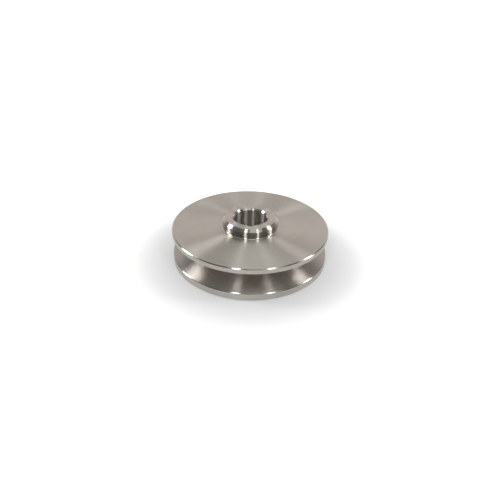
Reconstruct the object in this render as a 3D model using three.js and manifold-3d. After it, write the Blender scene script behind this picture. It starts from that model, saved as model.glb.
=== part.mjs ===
// A single-groove V belt pulley, turned from one piece of solid steel bar.
// Millimetres. +Z is the shaft axis. The origin is on that axis, in the plane of the back face.

import * as THREE from 'three';
import { mergeVertices } from 'three/addons/utils/BufferGeometryUtils.js';
import Module from 'manifold-3d';

// Driving dimensions
const outerDiameter = 90;
const backLand = 4.4;
const grooveWidth = 12.4;
const frontLand = 3.2;
const grooveAngle = 36;
const grooveDepth = 12.5;
const rimChamfer = 0.5;
const beltEdgeBreak = 0.4;
const bossDiameter = 32;
const bossHeight = 5.4;
const bossChamfer = 1.5;
const bossFillet = 0.9;
const boreDiameter = 19;
const boreChamfer = 0.9;
const keywayWidth = 3.2;
const keywayDepth = 1.6;

// How finely round shapes are stepped
const stepsRound = 96;
const filletSteps = 3;

// Sizes that follow from them
const rimRadius = outerDiameter / 2;
const grooveRootRadius = rimRadius - grooveDepth;
const bossRadius = bossDiameter / 2;
const boreRadius = boreDiameter / 2;
const grooveBack = backLand;
const grooveFront = grooveBack + grooveWidth;
const frontFace = grooveFront + frontLand;
const bossFace = frontFace + bossHeight;
const wallSlope = Math.tan(THREE.MathUtils.degToRad(grooveAngle / 2));

// The half section, as radius and height: out along the back, up the rim, over the boss and down the bore.
function halfSection() {
  const points = [];
  const add = (radius, height) => points.push(new THREE.Vector2(radius, height));
  addBackFlange(add);
  addGroove(add);
  addFrontFlange(add);
  addBoss(add);
  addBore(add);
  points.push(points[0].clone());
  return points;
}

function addBackFlange(add) {
  add(boreRadius + boreChamfer, 0);
  add(rimRadius - rimChamfer, 0);
  add(rimRadius, rimChamfer);
}

// Two straight walls lean together towards a flat root. Each outer edge is broken at 45 degrees.
function addGroove(add) {
  const wallStart = beltEdgeBreak * wallSlope;
  const breakHeight = beltEdgeBreak - wallStart;
  const wallEnd = grooveDepth * wallSlope;
  add(rimRadius, grooveBack - breakHeight);
  add(rimRadius - beltEdgeBreak, grooveBack + wallStart);
  add(grooveRootRadius, grooveBack + wallEnd);
  add(grooveRootRadius, grooveFront - wallEnd);
  add(rimRadius - beltEdgeBreak, grooveFront - wallStart);
  add(rimRadius, grooveFront + breakHeight);
}

function addFrontFlange(add) {
  add(rimRadius, frontFace - rimChamfer);
  add(rimRadius - rimChamfer, frontFace);
}

// A short round boss that rises from the front face through a small concave fillet.
function addBoss(add) {
  for (let step = 0; step <= filletSteps; step++) {
    const turn = (step / filletSteps) * (Math.PI / 2);
    const outwards = bossFillet * (1 - Math.sin(turn));
    const upwards = bossFillet * (1 - Math.cos(turn));
    add(bossRadius + outwards, frontFace + upwards);
  }
  add(bossRadius, bossFace - bossChamfer);
  add(bossRadius - bossChamfer, bossFace);
}

function addBore(add) {
  add(boreRadius + boreChamfer, bossFace);
  add(boreRadius, bossFace - boreChamfer);
  add(boreRadius, boreChamfer);
}

// A straight slot along the bore, open at both faces, on the -Y side.
function keywayCutter() {
  const overrun = 1;
  const length = bossFace + 2 * overrun;
  const reach = boreRadius + keywayDepth;
  const cutter = new THREE.BoxGeometry(keywayWidth, reach, length);
  cutter.translate(0, -reach / 2, bossFace / 2);
  return cutter;
}

const manifold = await Module();
manifold.setup();

function toSolid(geometry) {
  const bare = geometry.clone();
  bare.deleteAttribute('normal');
  bare.deleteAttribute('uv');
  const merged = mergeVertices(bare);
  const vertProperties = new Float32Array(merged.attributes.position.array);
  const triVerts = new Uint32Array(merged.index.array);
  return new manifold.Manifold(new manifold.Mesh({ numProp: 3, vertProperties, triVerts }));
}

function toGeometry(solid) {
  const mesh = solid.getMesh();
  const geometry = new THREE.BufferGeometry();
  geometry.setAttribute('position', new THREE.BufferAttribute(mesh.vertProperties, 3));
  geometry.setIndex(new THREE.BufferAttribute(mesh.triVerts, 1));
  return geometry;
}

// A lathe turns its section about +Y, so the turned form is tipped up to bring that axis onto +Z.
function turnedBlank() {
  const blank = new THREE.LatheGeometry(halfSection(), stepsRound);
  blank.rotateX(Math.PI / 2);
  return blank;
}

function brightTurnedSteel() {
  return new THREE.MeshStandardMaterial({ color: '#a8a199', roughness: 0.3, metalness: 1 });
}

function makePulley() {
  const keyed = toSolid(turnedBlank()).subtract(toSolid(keywayCutter()));
  const pulley = new THREE.Mesh(toGeometry(keyed), brightTurnedSteel());
  pulley.name = 'pulley';
  return pulley;
}

const group = new THREE.Group();
group.add(makePulley());

export default group;
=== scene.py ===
from math import cos, pi, radians, sin, tan

import bmesh
import bpy
from mathutils import Matrix, Vector


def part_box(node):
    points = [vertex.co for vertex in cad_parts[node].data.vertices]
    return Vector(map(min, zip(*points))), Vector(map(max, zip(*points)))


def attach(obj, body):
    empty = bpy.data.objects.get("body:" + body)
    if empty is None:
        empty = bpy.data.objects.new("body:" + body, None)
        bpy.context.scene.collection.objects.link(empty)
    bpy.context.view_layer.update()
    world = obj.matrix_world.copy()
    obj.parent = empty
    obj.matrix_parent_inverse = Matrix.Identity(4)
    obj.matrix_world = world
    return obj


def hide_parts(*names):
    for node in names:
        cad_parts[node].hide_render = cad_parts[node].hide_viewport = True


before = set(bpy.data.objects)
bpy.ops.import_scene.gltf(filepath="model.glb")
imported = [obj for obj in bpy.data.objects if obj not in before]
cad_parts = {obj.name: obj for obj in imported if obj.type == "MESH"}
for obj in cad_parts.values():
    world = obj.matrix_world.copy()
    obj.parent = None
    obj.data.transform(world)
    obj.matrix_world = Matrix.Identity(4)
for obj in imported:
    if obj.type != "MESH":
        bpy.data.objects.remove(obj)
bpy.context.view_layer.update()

# ---- Camera -------------------------------------------------------------------------------------
# A short lens close to the pulley, thirty degrees above it and straight in front of the keyway.
# The camera leans one and a half degrees, so the right side of the pulley hangs a little lower.
MM = 0.001
camera_elevation = radians(29.8)
camera_distance = 275.7 * MM
camera_pivot_height = 20.0 * MM
camera_lean = radians(1.545)
aim_point = Vector((0.2, 0.0, 2.6)) * MM
lens_mm = 34.2
sensor_mm = 36.0
nearest_seen = 5 * MM


def facing(place, target, lean):
    """The matrix of something that stands at place, looks at target, and leans about that line."""
    forward = (target - place).normalized()
    level = forward.cross(Vector((0, 0, 1))).normalized()
    right = level * cos(lean) + level.cross(forward) * sin(lean)
    up = right.cross(forward)
    turn = Matrix((right, up, -forward)).transposed()
    return Matrix.Translation(place) @ turn.to_4x4()


view_from = Vector((0, -cos(camera_elevation), sin(camera_elevation))) * camera_distance
view_from.z += camera_pivot_height
camera_data = bpy.data.cameras.new("camera")
camera_data.lens = lens_mm
camera_data.sensor_width = sensor_mm
camera_data.clip_start = nearest_seen
camera = bpy.data.objects.new("camera", camera_data)
camera.matrix_world = facing(view_from, aim_point, camera_lean)
scene = bpy.context.scene
scene.collection.objects.link(camera)
scene.camera = camera
scene.view_settings.view_transform = "Standard"
scene.cycles.use_denoising = True
scene.cycles.caustics_reflective = False
scene.cycles.max_bounces = 16
scene.cycles.glossy_bounces = 12

# ---- Floor and room -----------------------------------------------------------------------------
# A sheet of matt white paper under the pulley, in a room with a bright wall behind it, a grey
# ceiling and grey sides, and a dark side round the camera. The metal mirrors the wall as its lights
# and the dark side as its darks.
floor_radius = 4.0
floor_steps = 96
paper_colour = "#CACACA"
paper_roughness = 0.9
fibre_length = 1.1 * MM
tooth_depth = 0.02 * MM
# The paper glows though it is no lamp, which is painted light. Its weaker glow under the pulley is a
# painted shadow, and the white that only the camera sees rise further off paints a soft shadow round the
# pulley.
painted_paper_glow = 0.36
painted_shadow_glow = 0.08
glow_starts = 38 * MM
glow_full = 46 * MM
camera_painted_white = 0.8
lift_full = 110 * MM
wall_tone = "#DFDBD7"
ceiling_tone = "#B4B7B3"
side_tone = "#8C8C8B"
front_tone = "#3A3F41"
front_ends, side_starts = -0.6, 0.2
side_ends, wall_starts = 0.4, 0.75
wall_ends, ceiling_starts = 0.75, 0.95
backdrop_white = "#FFFFFF"
# The numbers of the Mix node's two colour inputs, which share their names with its other inputs.
first_colour, second_colour = 6, 7


def linear(hex_colour):
    """An sRGB hex value such as #C8C1B8 as the linear colour that a shader takes."""
    values = [int(hex_colour[i:i + 2], 16) / 255 for i in (1, 3, 5)]
    straight = [v / 12.92 if v <= 0.04045 else ((v + 0.055) / 1.055) ** 2.4 for v in values]
    return (*straight, 1.0)


def add(tree, kind, inputs=None, **settings):
    """Adds a node, sets its properties, and gives each input, by name or number, a value or a link."""
    node = tree.nodes.new(kind)
    for name, value in settings.items():
        setattr(node, name, value)
    for name, value in (inputs or {}).items():
        if isinstance(value, bpy.types.NodeSocket):
            tree.links.new(value, node.inputs[name])
        else:
            node.inputs[name].default_value = value
    return node


def white_paper():
    """Seamless paper, uncoated, so it shines nowhere and has a fine tooth. The room and the lamps
    light it, and it also glows though it is no lamp: a painted light from the rim outwards, and
    a weaker glow under the pulley and up the bore, which is a painted shadow. The camera alone
    sees it rise to a clean white further off, which paints a soft shadow round the pulley."""
    material = bpy.data.materials.new("uncoated_white_paper")
    material.use_nodes = True
    tree = material.node_tree
    tree.nodes.clear()
    place = add(tree, "ShaderNodeTexCoord").outputs["Object"]
    fibre = add(tree, "ShaderNodeTexNoise", {"Vector": place, "Scale": 1 / fibre_length, "Detail": 3.0})
    tooth = add(tree, "ShaderNodeBump", {"Height": fibre.outputs[0], "Distance": tooth_depth})
    distance = add(tree, "ShaderNodeVectorMath", {0: place}, operation="LENGTH").outputs["Value"]
    # Painted glow, weaker under the pulley as a painted shadow.
    painted_glow_level = add(tree, "ShaderNodeMapRange", {
        "Value": distance, "From Min": glow_starts, "From Max": glow_full,
        "To Min": painted_shadow_glow, "To Max": painted_paper_glow}, interpolation_type="SMOOTHSTEP").outputs[0]
    # Painted white for camera rays only, which leaves a painted soft shadow round the pulley.
    painted_shadow_lift = add(tree, "ShaderNodeMapRange", {
        "Value": distance, "From Min": glow_full, "From Max": lift_full,
        "To Min": 0.0, "To Max": camera_painted_white}, interpolation_type="SMOOTHSTEP").outputs[0]
    seen = add(tree, "ShaderNodeLightPath").outputs["Is Camera Ray"]
    painted_glow = add(tree, "ShaderNodeMath", {0: painted_shadow_lift, 1: seen, 2: painted_glow_level}, operation="MULTIPLY_ADD")
    surface = add(tree, "ShaderNodeBsdfPrincipled", {
        "Base Color": linear(paper_colour), "Roughness": paper_roughness, "Normal": tooth.outputs[0],
        "Emission Color": linear(backdrop_white), "Emission Strength": painted_glow.outputs[0]})
    add(tree, "ShaderNodeOutputMaterial", {"Surface": surface.outputs[0]})
    return material


def make_floor():
    mesh = bpy.data.meshes.new("floor")
    shape = bmesh.new()
    bmesh.ops.create_circle(shape, cap_ends=True, segments=floor_steps, radius=floor_radius)
    shape.to_mesh(mesh)
    shape.free()
    mesh.materials.append(white_paper())
    floor = bpy.data.objects.new("floor", mesh)
    floor.location.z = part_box("pulley")[0].z
    scene.collection.objects.link(floor)


def blend_tones(tree, along, start, end, before, after):
    """Turns smoothly from one tone to the next where a direction's part passes from start to end."""
    share = add(tree, "ShaderNodeMapRange", {
        "Value": along, "From Min": start, "From Max": end},
        interpolation_type="SMOOTHSTEP").outputs[0]
    blend = add(tree, "ShaderNodeMix", {
        "Factor": share, first_colour: before, second_colour: after}, data_type="RGBA")
    return blend.outputs[2]


def light_room():
    """The room's light by direction: Y runs away from the camera, and Z up. The camera itself sees
    only the white backdrop."""
    world = bpy.data.worlds.new("studio")
    world.use_nodes = True
    tree = world.node_tree
    tree.nodes.clear()
    direction = add(tree, "ShaderNodeTexCoord").outputs["Generated"]
    parts = add(tree, "ShaderNodeSeparateXYZ", {0: direction})
    back = parts.outputs["Y"]
    up = parts.outputs["Z"]
    sides = blend_tones(tree, back, front_ends, side_starts, linear(front_tone), linear(side_tone))
    walls = blend_tones(tree, back, side_ends, wall_starts, sides, linear(wall_tone))
    tones = blend_tones(tree, up, wall_ends, ceiling_starts, walls, linear(ceiling_tone))
    room = add(tree, "ShaderNodeBackground", {"Color": tones})
    backdrop = add(tree, "ShaderNodeBackground", {"Color": linear(backdrop_white)})
    seen = add(tree, "ShaderNodeLightPath").outputs["Is Camera Ray"]
    both = add(tree, "ShaderNodeMixShader", {0: seen, 1: room.outputs[0], 2: backdrop.outputs[0]})
    add(tree, "ShaderNodeOutputWorld", {"Surface": both.outputs[0]})
    scene.world = world


make_floor()
light_room()

# ---- Lamps --------------------------------------------------------------------------------------
# Four tall strip boxes stand round the front, one at each side and two nearer the camera, and each
# draws a narrow streak down every bright round surface. Two faint green panels hang overhead.
lamp_distance = 2.5
panel_colour = "#F4FFF6"


def towards(swing, elevation):
    """The point that a lamp stands at, so many degrees round from the camera's side and so high up."""
    around = radians(swing)
    above = radians(elevation)
    return Vector((sin(around) * cos(above), -cos(around) * cos(above), sin(above))) * lamp_distance


def hang_lamp(name, low_end, high_end, width, radiance):
    """A soft rectangular lamp that faces the pulley. Its two ends are given as swing and elevation."""
    low = towards(*low_end)
    high = towards(*high_end)
    middle = (low + high) / 2
    away = middle.normalized()
    along = high - low
    up = (along - away * along.dot(away)).normalized()
    turn = Matrix((up.cross(away), up, away)).transposed()
    lamp_data = bpy.data.lights.new(name, "AREA")
    lamp_data.shape = "RECTANGLE"
    lamp_data.size = width
    lamp_data.size_y = along.length
    lamp_data.energy = radiance * pi * width * along.length
    lamp = bpy.data.objects.new(name, lamp_data)
    lamp.matrix_world = Matrix.Translation(middle) @ turn.to_4x4()
    lamp.visible_camera = False
    scene.collection.objects.link(lamp)
    return lamp


hang_lamp("strip_left", low_end=(-99, 20), high_end=(-103, 50), width=0.54, radiance=7.0)
hang_lamp("strip_front_left", low_end=(-18, 24), high_end=(-23, 59), width=0.28, radiance=6.0)
hang_lamp("strip_front_right", low_end=(31, 24), high_end=(39, 54), width=0.28, radiance=5.6)
hang_lamp("strip_right", low_end=(92, 20), high_end=(98, 50), width=0.38, radiance=7.0)
front_panel = hang_lamp("front_panel", low_end=(28, 49), high_end=(66, 75), width=1.6, radiance=0.45)
top_panel = hang_lamp("top_panel", low_end=(8, 77), high_end=(176, 48), width=0.9, radiance=0.34)
for panel in (front_panel, top_panel):
    panel.data.color = linear(panel_colour)[:3]

# ---- Pulley -------------------------------------------------------------------------------------
# One piece of mild steel bar, turned all over on a lathe: two flanges, the V groove for the belt,
# the boss and the bore, with each edge broken. The keyway is broached down the bore last, and the
# metal is left bare with a trace of oil.
low_corner, high_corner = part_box("pulley")
rim_radius = high_corner.x
back_face = low_corner.z
boss_face = high_corner.z
back_land = 4.4 * MM
groove_width = 12.4 * MM
front_land = 3.2 * MM
groove_depth = 12.5 * MM
groove_angle = 36.0
groove_slope = tan(radians(groove_angle / 2))
rim_chamfer = 0.5 * MM
belt_edge_break = 0.4 * MM
root_round = 0.4 * MM
boss_radius = 16.0 * MM
boss_chamfer = 1.5 * MM
boss_fillet = 0.9 * MM
bore_radius = 9.5 * MM
bore_chamfer = 0.9 * MM
keyway_width = 3.2 * MM
keyway_depth = 1.6 * MM
edge_round = 0.06 * MM
support_gap = 0.12 * MM
corner_steps = 4
steps_round = 288
sharp_angle = radians(40)

bright_steel = "#CAC4BD"
# The film's tint: a thin oily film, and painted shade where it lies thick in the groove.
oily_and_painted_shade_steel = "#A9A39C"
oil_patch = 16 * MM
ring_group = 0.6 * MM
ring_depth = 0.0008 * MM
least_wear, most_wear = 0.9, 1.1
quarter_turn = 0.25


def cut_steel(name, roughness, across, feed, lean, oil_and_painted_shade=(0.0, 0.3), directional=1.0):
    """Bare steel as a cutting tool leaves it. across is the way that the tool travelled, and feed is
    how far apart its marks lie: a lathe tool's travel in one turn, or a broach's chatter. lean is
    the least and most slope of those marks, oil is the least and most share of the metal that a
    darker film covers, and directional is how strongly the marks draw a highlight out. The film
    is a thin oily film in random patches, and painted shade where its share is high, as in the
    groove."""
    material = bpy.data.materials.new(name)
    material.use_nodes = True
    tree = material.node_tree
    tree.nodes.clear()
    place = add(tree, "ShaderNodeTexCoord").outputs["Object"]
    parts = add(tree, "ShaderNodeSeparateXYZ", {0: place}).outputs
    flat = add(tree, "ShaderNodeCombineXYZ", {"X": parts["X"], "Y": parts["Y"]}).outputs[0]
    outwards = add(tree, "ShaderNodeVectorMath", {0: flat}, operation="NORMALIZE").outputs[0]
    if across == "outwards":
        travel = add(tree, "ShaderNodeVectorMath", {0: flat}, operation="LENGTH").outputs["Value"]
        direction = outwards
    else:
        travel = parts["Z"]
        direction = add(tree, "ShaderNodeCombineXYZ", {"Z": 1.0}).outputs[0]

    # The fine marks, whose slopes spread a highlight across them. Their noise lies mostly between
    # these two values.
    noise_low, noise_high = 0.3, 0.7
    turns = add(tree, "ShaderNodeMath", {0: travel, 1: 1 / feed}, operation="MULTIPLY").outputs[0]
    ridge = add(tree, "ShaderNodeTexNoise", {
        "Vector": outwards, "W": turns, "Scale": 1.0, "Detail": 2.0}, noise_dimensions="4D").outputs[0]
    slope = add(tree, "ShaderNodeMapRange", {
        "Value": ridge, "From Min": noise_low, "From Max": noise_high,
        "To Min": lean[0], "To Max": lean[1]}).outputs[0]
    smooth = add(tree, "ShaderNodeNewGeometry").outputs["Normal"]
    leaned = add(tree, "ShaderNodeVectorMath", {
        0: direction, 1: slope, 2: smooth}, operation="MULTIPLY_ADD").outputs[0]

    # Single marks are too fine to show, so these are drawn coarser, at about ring_group apart.
    groups = add(tree, "ShaderNodeMath", {0: travel, 1: 1 / ring_group}, operation="MULTIPLY").outputs[0]
    rings = add(tree, "ShaderNodeTexNoise", {
        "Vector": outwards, "W": groups, "Scale": 1.0, "Detail": 3.0, "Roughness": 0.7},
        noise_dimensions="4D").outputs[0]
    cut = add(tree, "ShaderNodeBump", {"Height": rings, "Distance": ring_depth, "Normal": leaned})
    worn = add(tree, "ShaderNodeMapRange", {
        "Value": rings, "From Min": noise_low, "From Max": noise_high,
        "To Min": roughness * least_wear, "To Max": roughness * most_wear}).outputs[0]

    # The film lies in patches and greys the metal: a thin oily film, and painted shade where its
    # share is high, as in the groove. It is thinnest where its noise is below the first of these
    # values, and thickest where it is above the second.
    thinnest_below, thickest_above = 0.35, 0.75
    film = add(tree, "ShaderNodeTexNoise", {
        "Vector": place, "Scale": 1 / oil_patch, "Detail": 4.0, "Roughness": 0.6}).outputs[0]
    film_and_painted_shade_share = add(tree, "ShaderNodeMapRange", {
        "Value": film, "From Min": thinnest_below, "From Max": thickest_above,
        "To Min": oil_and_painted_shade[0], "To Max": oil_and_painted_shade[1]}).outputs[0]
    tint = add(tree, "ShaderNodeMix", {
        "Factor": film_and_painted_shade_share, first_colour: linear(bright_steel), second_colour: linear(oily_and_painted_shade_steel)},
        data_type="RGBA").outputs[2]

    # The tangent runs round the axis, and a quarter turn lays each highlight's long way across it.
    round_axis = add(tree, "ShaderNodeTangent", direction_type="RADIAL", axis="Z").outputs[0]
    surface = add(tree, "ShaderNodeBsdfPrincipled", {
        "Base Color": tint, "Metallic": 1.0, "Roughness": worn, "Anisotropic": directional,
        "Anisotropic Rotation": quarter_turn, "Tangent": round_axis, "Normal": cut.outputs[0]})
    add(tree, "ShaderNodeOutputMaterial", {"Surface": surface.outputs[0]})
    return material


# Faced from the centre outwards, which gives satin metal with pale fans from the boss to the rim.
faced = cut_steel(
    "faced_steel", roughness=0.3, across="outwards", feed=0.15 * MM, lean=(-0.05, 0.22))
# The two narrow rims are turned along the axis, which gives an even satin band.
rim_cut = cut_steel(
    "turned_rim_steel", roughness=0.24, across="upwards", feed=0.15 * MM, lean=(-0.2, 0.06))
# The groove is plunged with a form tool, and its heavier film is painted shade that darkens the
# recess: dark, with slanting bands of light.
groove_cut = cut_steel(
    "form_cut_groove_steel", roughness=0.3, across="outwards", feed=0.04 * MM, lean=(-0.1, 0.3),
    oil_and_painted_shade=(0.35, 0.75))
# The boss is finished with a light cut, and is close to a dark mirror with thin bright streaks.
boss_cut = cut_steel(
    "fine_turned_boss_steel", roughness=0.14, across="upwards", feed=0.1 * MM, lean=(-0.03, 0.03))
# The bore is cut by a boring bar: dull and dark, with faint upright streaks.
bore_cut = cut_steel(
    "bored_steel", roughness=0.36, across="upwards", feed=0.04 * MM, lean=(-0.1, 0.14))
# The rims' edges are broken by the side of the tool, and draw a bright line where they face a lamp.
edge_cut = cut_steel(
    "broken_edge_steel", roughness=0.2, across="outwards", feed=0.1 * MM, lean=(-0.03, 0.03),
    directional=0.8)
# The boss's and the bore's chamfers are cut finer, and flash like a dark mirror.
chamfer_cut = cut_steel(
    "fine_chamfer_steel", roughness=0.13, across="outwards", feed=0.1 * MM, lean=(-0.03, 0.03),
    directional=0.8)
# The keyway is cut by a broach that runs straight down, which gives plain satin with no streak.
broached = cut_steel(
    "broached_keyway_steel", roughness=0.34, across="upwards", feed=0.3 * MM, lean=(-0.02, 0.02),
    directional=0.0)
finishes = [faced, rim_cut, groove_cut, boss_cut, bore_cut, edge_cut, chamfer_cut, broached]


def section_corners():
    """The half section's corners. Each is its radius, height, rounding, the finish of the rounding,
    and the finish of the straight stretch that follows."""
    groove_back = back_face + back_land
    groove_front = groove_back + groove_width
    front_face = groove_front + front_land
    wall_start = belt_edge_break * groove_slope
    wall_end = groove_depth * groove_slope
    break_height = belt_edge_break - wall_start
    break_radius = rim_radius - belt_edge_break
    root_radius = rim_radius - groove_depth
    bore_mouth = bore_radius + bore_chamfer
    return [
        (bore_mouth, back_face, edge_round, chamfer_cut, faced),
        (rim_radius - rim_chamfer, back_face, edge_round, edge_cut, edge_cut),
        (rim_radius, back_face + rim_chamfer, edge_round, edge_cut, rim_cut),
        (rim_radius, groove_back - break_height, edge_round, edge_cut, edge_cut),
        (break_radius, groove_back + wall_start, edge_round, edge_cut, groove_cut),
        (root_radius, groove_back + wall_end, root_round, groove_cut, groove_cut),
        (root_radius, groove_front - wall_end, root_round, groove_cut, groove_cut),
        (break_radius, groove_front - wall_start, edge_round, edge_cut, edge_cut),
        (rim_radius, groove_front + break_height, edge_round, edge_cut, rim_cut),
        (rim_radius, front_face - rim_chamfer, edge_round, edge_cut, edge_cut),
        (rim_radius - rim_chamfer, front_face, edge_round, edge_cut, faced),
        (boss_radius, front_face, boss_fillet, boss_cut, boss_cut),
        (boss_radius, boss_face - boss_chamfer, edge_round, chamfer_cut, chamfer_cut),
        (boss_radius - boss_chamfer, boss_face, edge_round, chamfer_cut, faced),
        (bore_mouth, boss_face, edge_round, chamfer_cut, chamfer_cut),
        (bore_radius, boss_face - bore_chamfer, edge_round, chamfer_cut, bore_cut),
        (bore_radius, back_face + bore_chamfer, edge_round, chamfer_cut, chamfer_cut),
    ]


def rounded_section():
    """Gives each corner its arc, with a point close beside each end so that the flats shade flat."""
    corners = section_corners()
    section = []
    for i, (radius, height, rounding, round_finish, finish) in enumerate(corners):
        here = Vector((radius, height))
        before = Vector(corners[i - 1][:2])
        after = Vector(corners[(i + 1) % len(corners)][:2])
        finish_before = corners[i - 1][-1]
        to_before = (before - here).normalized()
        to_after = (after - here).normalized()
        half_angle = to_before.angle(to_after) / 2
        reach = rounding / tan(half_angle)
        centre = here + (to_before + to_after).normalized() * (rounding / sin(half_angle))
        arm = here + to_before * reach - centre
        sweep = (here + to_after * reach - centre).angle_signed(arm)
        section.append((here + to_before * (reach + support_gap), finish_before))
        for step in range(corner_steps + 1):
            turn = Matrix.Rotation(sweep * step / corner_steps, 2)
            stretch = round_finish if step < corner_steps else finish
            section.append((centre + turn @ arm, stretch))
        section.append((here + to_after * (reach + support_gap), finish))
    return section


def turn_blank():
    """Sweeps the section once round the axis. Each stretch of it carries its own finish."""
    section = rounded_section()
    shape = bmesh.new()
    angles = [2 * pi * step / steps_round for step in range(steps_round)]
    rings = []
    for point, finish in section:
        rings.append([shape.verts.new((point.x * cos(a), point.x * sin(a), point.y)) for a in angles])
    for i, (point, finish) in enumerate(section):
        near = rings[i]
        far = rings[(i + 1) % len(rings)]
        for step in range(steps_round):
            on = (step + 1) % steps_round
            face = shape.faces.new((near[step], near[on], far[on], far[step]))
            face.material_index = finishes.index(finish)
            face.smooth = True
    mesh = bpy.data.meshes.new("turned_pulley")
    shape.to_mesh(mesh)
    shape.free()
    for finish in finishes:
        mesh.materials.append(finish)
    blank = bpy.data.objects.new("turned_pulley", mesh)
    scene.collection.objects.link(blank)
    return blank


def broach_keyway(blank):
    """Cuts a straight slot down the camera's side of the bore, open at both faces."""
    overrun = 1 * MM
    length = boss_face - back_face + 2 * overrun
    reach = bore_radius + keyway_depth
    mesh = bpy.data.meshes.new("broach")
    shape = bmesh.new()
    bmesh.ops.create_cube(shape, size=1.0)
    bmesh.ops.scale(shape, vec=(keyway_width, reach, length), verts=shape.verts)
    bmesh.ops.translate(shape, vec=(0, -reach / 2, (back_face + boss_face) / 2), verts=shape.verts)
    shape.to_mesh(mesh)
    shape.free()
    mesh.materials.append(broached)
    broach = bpy.data.objects.new("broach", mesh)
    scene.collection.objects.link(broach)
    cut = blank.modifiers.new("keyway", "BOOLEAN")
    cut.operation = "DIFFERENCE"
    cut.solver = "EXACT"
    cut.material_mode = "TRANSFER"
    cut.object = broach
    keyed = blank.evaluated_get(bpy.context.evaluated_depsgraph_get())
    finished = bpy.data.meshes.new_from_object(keyed)
    finished.set_sharp_from_angle(angle=sharp_angle)
    blank.modifiers.clear()
    blank.data = finished
    bpy.data.objects.remove(broach)


pulley = turn_blank()
broach_keyway(pulley)
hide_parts("pulley")
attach(pulley, "root")
